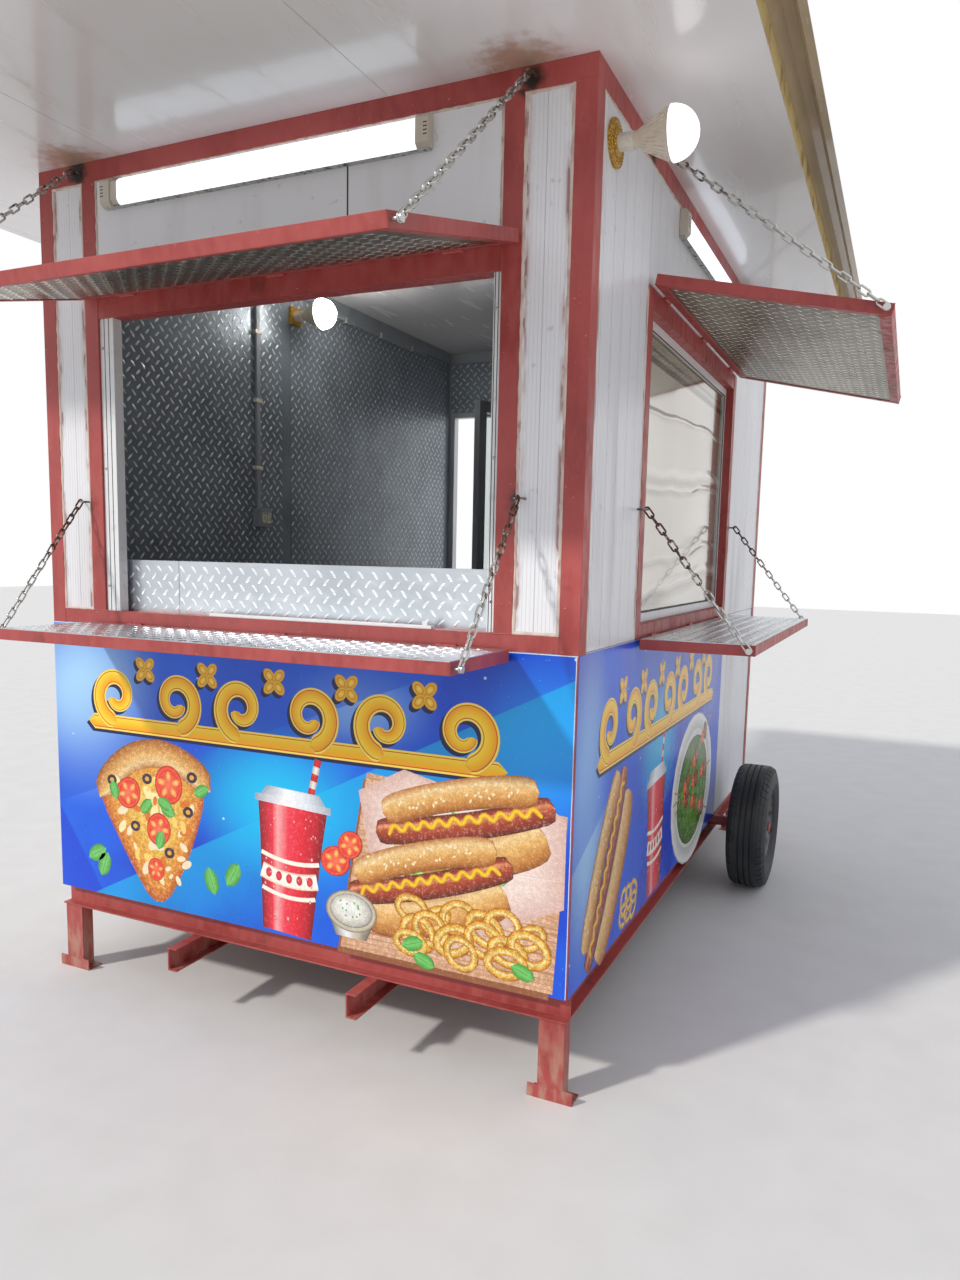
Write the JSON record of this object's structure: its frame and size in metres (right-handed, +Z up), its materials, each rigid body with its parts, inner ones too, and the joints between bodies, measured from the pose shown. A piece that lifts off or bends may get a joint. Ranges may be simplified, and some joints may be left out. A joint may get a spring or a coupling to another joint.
{
  "type": "street kiosk",
  "caption": "mobile food kiosk: steel framed sandwich panel cabin under a wide ribbed roof, with chained awning and counter flaps, side wheels, legs and a rear door",
  "frame": {"origin": "on the ground, under the middle of the overall outline", "axes": "+Z up, +Y from the front wall to the rear wall, +X to the side with the second hatch"},
  "size_m": [3.3316, 4.3, 2.941],
  "materials": {
    "steel_paint": "red oxide primer, brushed on, rust at the welds",
    "panel_white": "coil coated white sheet with fine vertical ribs",
    "foam": "cut edge of yellow foam",
    "chequer_plate": "bright raised lug pattern",
    "vinyl_print": "printed film, glossy",
    "zinc_steel": "zinc plated, dull",
    "white_aluminium": "white powder coat",
    "bare_aluminium": "mill finish",
    "clear_glass": "clear float glass",
    "lamp_diffuser": "lit opal plastic",
    "rose_gold": "pressed patterned brass",
    "conduit_plastic": "grey plastic trunking",
    "floor_plate": "board deck, worn",
    "tyre_rubber": "black, dusty",
    "wheel_steel": "grey painted, dusty"
  },
  "bodies": {
    "cabin": {"base_frame": "steel_paint", "chassis": "steel_paint", "legs": "steel_paint", "floor_deck": "floor_plate", "corner_posts": "steel_paint", "top_beams": "steel_paint", "front_hatch_frame": "steel_paint", "side_hatch_frame": "steel_paint", "front_wall": "panel_white", "right_wall": "panel_white", "left_wall": "panel_white", "rear_wall": "panel_white", "inner_lining": "chequer_plate", "roof_foam": "foam", "roof_sheets": "panel_white", "front_vinyl": "vinyl_print", "side_vinyl": "vinyl_print", "window_rails": "white_aluminium", "side_window_sash": "white_aluminium", "side_window_glass": "clear_glass", "counter_upstand": "chequer_plate", "chain_hooks": "zinc_steel", "tube_lamps": "lamp_diffuser", "bulb_bases": "rose_gold", "bulbs": "lamp_diffuser", "conduit": "conduit_plastic", "door_frame": "bare_aluminium"},
    "front_awning": {"front_awning_frame": "steel_paint", "front_awning_plate": "chequer_plate"},
    "front_counter": {"front_counter_frame": "steel_paint", "front_counter_plate": "chequer_plate"},
    "side_awning": {"side_awning_frame": "steel_paint", "side_awning_plate": "chequer_plate"},
    "side_counter": {"side_counter_frame": "steel_paint", "side_counter_plate": "chequer_plate"},
    "front_awning_chain_pair": {"front_awning_chains": "zinc_steel"},
    "front_counter_chain_pair": {"front_counter_chains": "zinc_steel"},
    "side_awning_chain_pair": {"side_awning_chains": "zinc_steel"},
    "side_counter_chain_pair": {"side_counter_chains": "zinc_steel"},
    "wheel_left": {"tyre_left": "tyre_rubber", "rim_left": "wheel_steel"},
    "wheel_right": {"tyre_right": "tyre_rubber", "rim_right": "wheel_steel"},
    "rear_door": {"rear_door_leaf": "bare_aluminium", "rear_door_glass": "clear_glass"}
  },
  "joints": [
    {"name": "front_awning_fold", "type": "hinge", "parent": "cabin", "child": "front_awning", "pos_m": [-0.04276, -1.258, 2.404], "axis": [1, 0, 0], "range_deg": [0, 75.5]},
    {"name": "side_awning_fold", "type": "hinge", "parent": "cabin", "child": "side_awning", "pos_m": [0.96524, 0.12, 2.427], "axis": [0, 1, 0], "range_deg": [0, 77.5]},
    {"name": "front_counter_fold", "type": "hinge", "parent": "cabin", "child": "front_counter", "pos_m": [-0.04276, -1.258, 1.314], "axis": [-1, 0, 0], "range_deg": [0, 90]},
    {"name": "side_counter_fold", "type": "hinge", "parent": "cabin", "child": "side_counter", "pos_m": [0.96524, 0.12, 1.314], "axis": [0, -1, 0], "range_deg": [0, 90]},
    {"name": "front_awning_chain_swing", "type": "hinge", "parent": "cabin", "child": "front_awning_chain_pair", "pos_m": [-0.04276, -1.275, 2.815], "axis": [1, 0, 0], "range_deg": [0, 49.23]},
    {"name": "side_awning_chain_swing", "type": "hinge", "parent": "cabin", "child": "side_awning_chain_pair", "pos_m": [0.98224, 0.12, 2.815], "axis": [0, 1, 0], "range_deg": [0, 51.86]},
    {"name": "front_counter_chain_swing", "type": "hinge", "parent": "cabin", "child": "front_counter_chain_pair", "pos_m": [-0.04276, -1.275, 1.732], "axis": [1, 0, 0], "range_deg": [0, 38.09]},
    {"name": "side_counter_chain_swing", "type": "hinge", "parent": "cabin", "child": "side_counter_chain_pair", "pos_m": [0.98224, 0.12, 1.732], "axis": [0, 1, 0], "range_deg": [0, 38.09]},
    {"name": "wheel_left_spin", "type": "hinge", "parent": "cabin", "child": "wheel_left", "pos_m": [-1.23276, 0.94, 0.295], "axis": [1, 0, 0], "continuous": true},
    {"name": "wheel_right_spin", "type": "hinge", "parent": "cabin", "child": "wheel_right", "pos_m": [1.14724, 0.94, 0.295], "axis": [1, 0, 0], "continuous": true},
    {"name": "rear_door_swing", "type": "hinge", "parent": "cabin", "child": "rear_door", "pos_m": [-0.31526, 1.785, 1.245], "axis": [0, 0, -1], "range_deg": [0, 75]}
  ],
  "couplings": [
    {"joint": "front_awning_chain_swing", "follows": "front_awning_fold", "ratio": 0.65209},
    {"joint": "side_awning_chain_swing", "follows": "side_awning_fold", "ratio": 0.66913},
    {"joint": "front_counter_chain_swing", "follows": "front_counter_fold", "ratio": 0.42325},
    {"joint": "side_counter_chain_swing", "follows": "side_counter_fold", "ratio": 0.42325}
  ]
}
